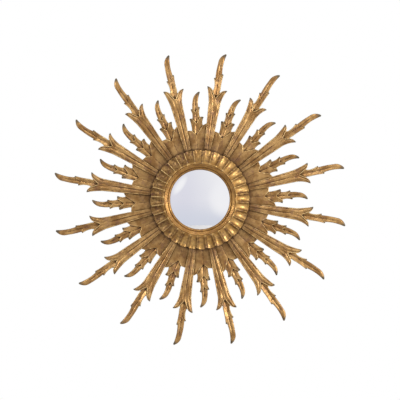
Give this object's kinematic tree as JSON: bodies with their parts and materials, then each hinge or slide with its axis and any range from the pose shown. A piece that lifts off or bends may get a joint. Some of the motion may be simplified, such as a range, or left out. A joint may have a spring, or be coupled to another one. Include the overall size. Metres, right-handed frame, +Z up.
{
  "type": "starburst mirror",
  "caption": "Round wall mirror with a convex glass in a fluted ring, set in a burst of long and short carved and gilded rays whose tips curl clockwise.",
  "frame": {"origin": "the mirror's axis on the wall plane, the face of the felt ring that rests on the wall", "axes": "+Z up the wall, +X to the right seen from the front, +Y from the front into the wall"},
  "size_m": [0.8998, 0.069, 0.8998],
  "materials": {
    "gilded_rays": "antique gold leaf over red bole on carved wood",
    "gilded_ring": "antique gold leaf over red bole on carved wood",
    "mirror_glass": "silvered glass, polished",
    "felt": "dark wool felt",
    "plywood": "bare birch plywood",
    "hardboard": "brown hardboard",
    "brass": "plain brass",
    "zinc_steel": "zinc-plated steel"
  },
  "bodies": {
    "frame": {"long_ray_01": "gilded_rays", "long_ray_02": "gilded_rays", "long_ray_03": "gilded_rays", "long_ray_04": "gilded_rays", "long_ray_05": "gilded_rays", "long_ray_06": "gilded_rays", "long_ray_07": "gilded_rays", "long_ray_08": "gilded_rays", "long_ray_09": "gilded_rays", "long_ray_10": "gilded_rays", "long_ray_11": "gilded_rays", "long_ray_12": "gilded_rays", "long_ray_13": "gilded_rays", "long_ray_14": "gilded_rays", "long_ray_15": "gilded_rays", "long_ray_16": "gilded_rays", "leaf_ray_01": "gilded_rays", "leaf_ray_02": "gilded_rays", "leaf_ray_03": "gilded_rays", "leaf_ray_04": "gilded_rays", "leaf_ray_05": "gilded_rays", "leaf_ray_06": "gilded_rays", "leaf_ray_07": "gilded_rays", "leaf_ray_08": "gilded_rays", "leaf_ray_09": "gilded_rays", "leaf_ray_10": "gilded_rays", "leaf_ray_11": "gilded_rays", "leaf_ray_12": "gilded_rays", "leaf_ray_13": "gilded_rays", "leaf_ray_14": "gilded_rays", "leaf_ray_15": "gilded_rays", "leaf_ray_16": "gilded_rays", "fluted_ring": "gilded_ring", "sight_ring": "gilded_ring", "mirror_glass": "mirror_glass", "glass_gasket": "felt", "packing_ring": "hardboard", "backing_panel": "hardboard", "hub_board": "plywood", "wall_spacer_ring": "plywood", "wall_felt_ring": "felt", "turn_button_screws": "brass", "hanger_strap_left": "zinc_steel", "hanger_strap_right": "zinc_steel", "hanger_screws": "zinc_steel", "long_ray_screws": "zinc_steel", "leaf_ray_screws": "zinc_steel", "ring_screws": "zinc_steel", "spacer_screws": "zinc_steel"},
    "turn_button_1": {"turn_button_1": "brass"},
    "turn_button_2": {"turn_button_2": "brass"},
    "turn_button_3": {"turn_button_3": "brass"},
    "turn_button_4": {"turn_button_4": "brass"},
    "hanging_ring_left": {"hanging_ring_left": "zinc_steel"},
    "hanging_ring_right": {"hanging_ring_right": "zinc_steel"}
  },
  "joints": [
    {"name": "turn_button_1_turn", "type": "hinge", "parent": "frame", "child": "turn_button_1", "pos_m": [0.116, -0.0071, 0], "axis": [0, 1, 0], "continuous": true},
    {"name": "turn_button_2_turn", "type": "hinge", "parent": "frame", "child": "turn_button_2", "pos_m": [0, -0.0071, 0.116], "axis": [0, 1, 0], "continuous": true},
    {"name": "turn_button_3_turn", "type": "hinge", "parent": "frame", "child": "turn_button_3", "pos_m": [-0.116, -0.0071, 0], "axis": [0, 1, 0], "continuous": true},
    {"name": "turn_button_4_turn", "type": "hinge", "parent": "frame", "child": "turn_button_4", "pos_m": [0, -0.0071, -0.116], "axis": [0, 1, 0], "continuous": true},
    {"name": "hanging_ring_left_swing", "type": "hinge", "parent": "frame", "child": "hanging_ring_left", "pos_m": [-0.1, -0.0047, 0.08], "axis": [1, 0, 0], "range_deg": [0, 180]},
    {"name": "hanging_ring_right_swing", "type": "hinge", "parent": "frame", "child": "hanging_ring_right", "pos_m": [0.1, -0.0047, 0.08], "axis": [1, 0, 0], "range_deg": [0, 180]}
  ]
}
